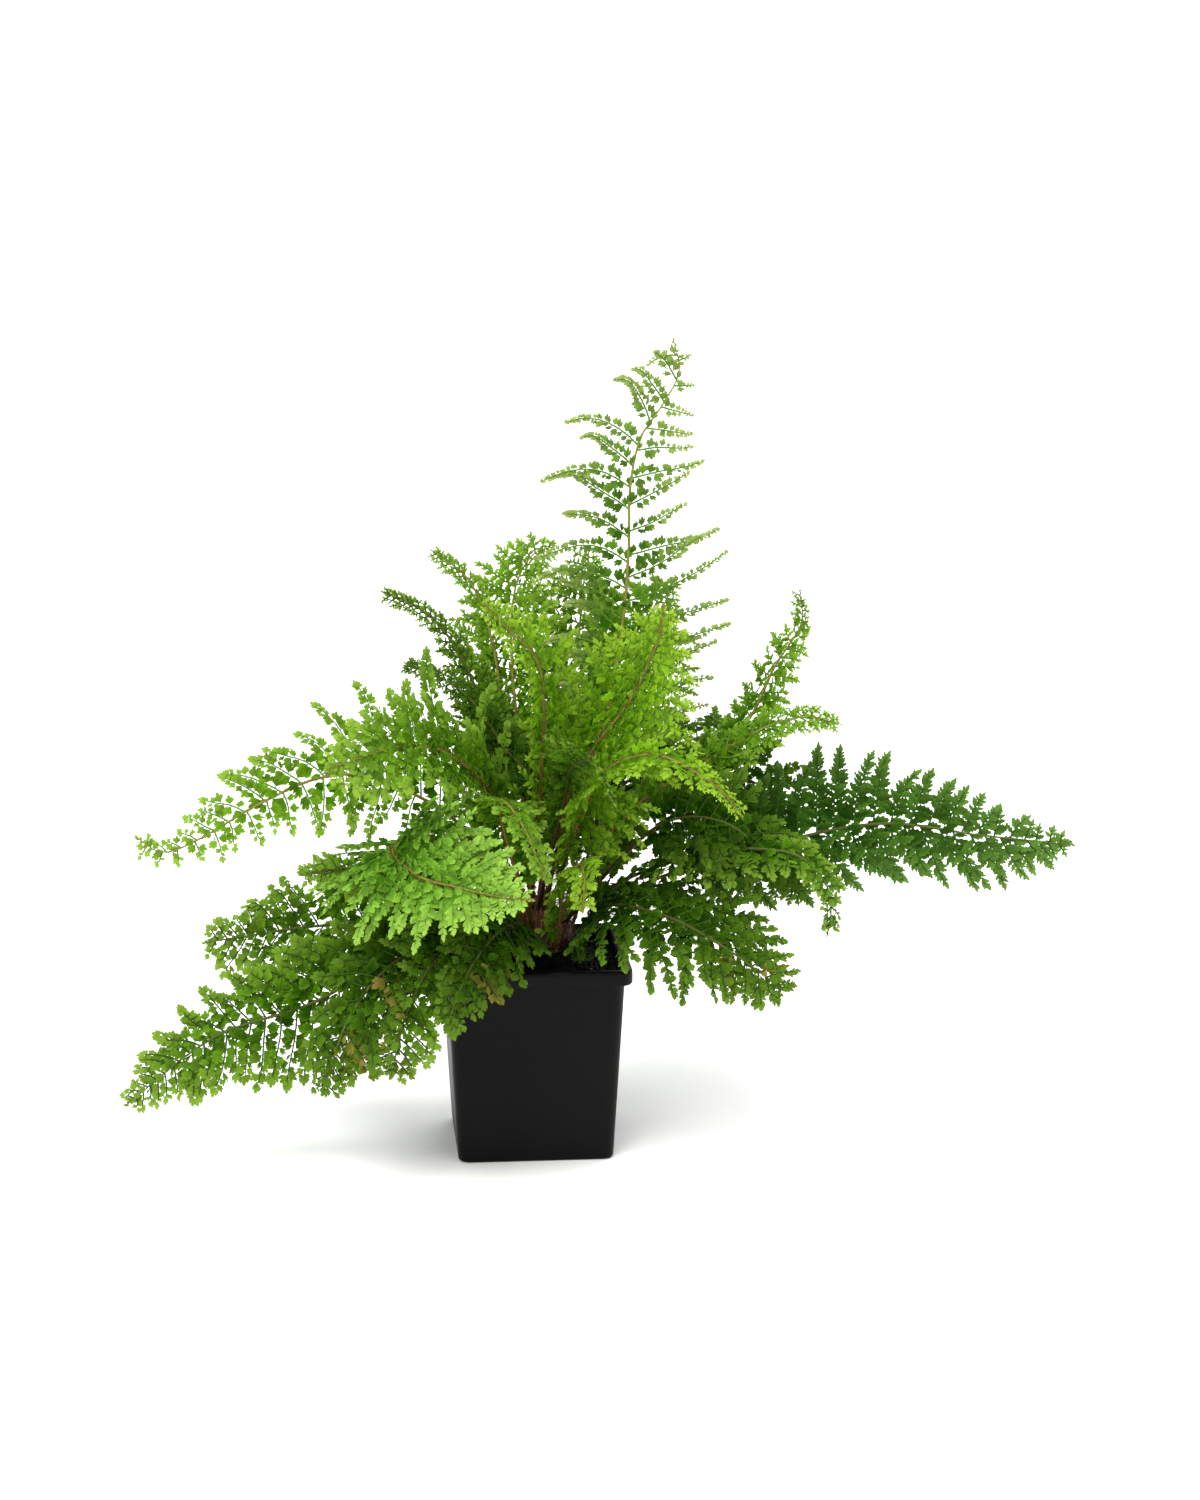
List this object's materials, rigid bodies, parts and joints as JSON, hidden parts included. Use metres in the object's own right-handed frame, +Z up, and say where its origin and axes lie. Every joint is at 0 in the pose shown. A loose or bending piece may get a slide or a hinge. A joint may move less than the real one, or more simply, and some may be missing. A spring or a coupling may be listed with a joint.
{
  "type": "potted fern",
  "caption": "Lacy fern with arching, finely divided fronds that spread from a scaly crown in a square tapered nursery pot filled with potting mix.",
  "frame": {"origin": "centre of the pot's foot, on the surface that it stands on", "axes": "+Z up, -Y towards the side seen in the picture, X along the pot's front and the plant's widest spread"},
  "size_m": [0.5761, 0.3771, 0.4961],
  "materials": {
    "pot": "black injection-moulded polypropylene, satin",
    "soil": "damp peat mix with a few perlite grains",
    "crown": "rootstock under red-brown scales",
    "frond_bright": "young yellow-green leaf, satin",
    "frond_fresh": "fresh green leaf, satin",
    "frond_mid": "mid green leaf, satin",
    "frond_dark": "mature dark green leaf, satin"
  },
  "bodies": {
    "root": {"pot": "pot", "soil": "soil", "crown": "crown", "frond_front_left_face": "frond_bright", "frond_centre_right": "frond_bright", "frond_centre_left": "frond_bright", "frond_front_middle": "frond_fresh", "frond_front_left_high": "frond_bright", "frond_left_high": "frond_fresh", "frond_top": "frond_mid", "frond_right_long": "frond_dark", "frond_left_low": "frond_mid", "frond_right_low": "frond_dark", "frond_right_droop": "frond_mid", "frond_front_right": "frond_bright", "frond_upright_right": "frond_fresh", "frond_right_short": "frond_fresh", "frond_back_left_high": "frond_fresh", "frond_back_left_upper": "frond_fresh", "frond_back_left": "frond_fresh", "frond_left_middle": "frond_bright", "frond_left_back_low": "frond_mid", "frond_left_front_low": "frond_dark", "frond_front_left_low": "frond_mid", "frond_front_low": "frond_dark", "frond_front_small": "frond_bright", "frond_back_right": "frond_dark", "frond_back_middle": "frond_mid", "frond_back_left_low": "frond_dark", "frond_back_right_low": "frond_mid", "frond_right_middle": "frond_dark", "frond_right_inner": "frond_dark", "frond_centre_back": "frond_fresh", "frond_centre_back_left": "frond_fresh", "frond_centre_dark": "frond_dark", "frond_front_inner": "frond_mid"}
  },
  "joints": []
}
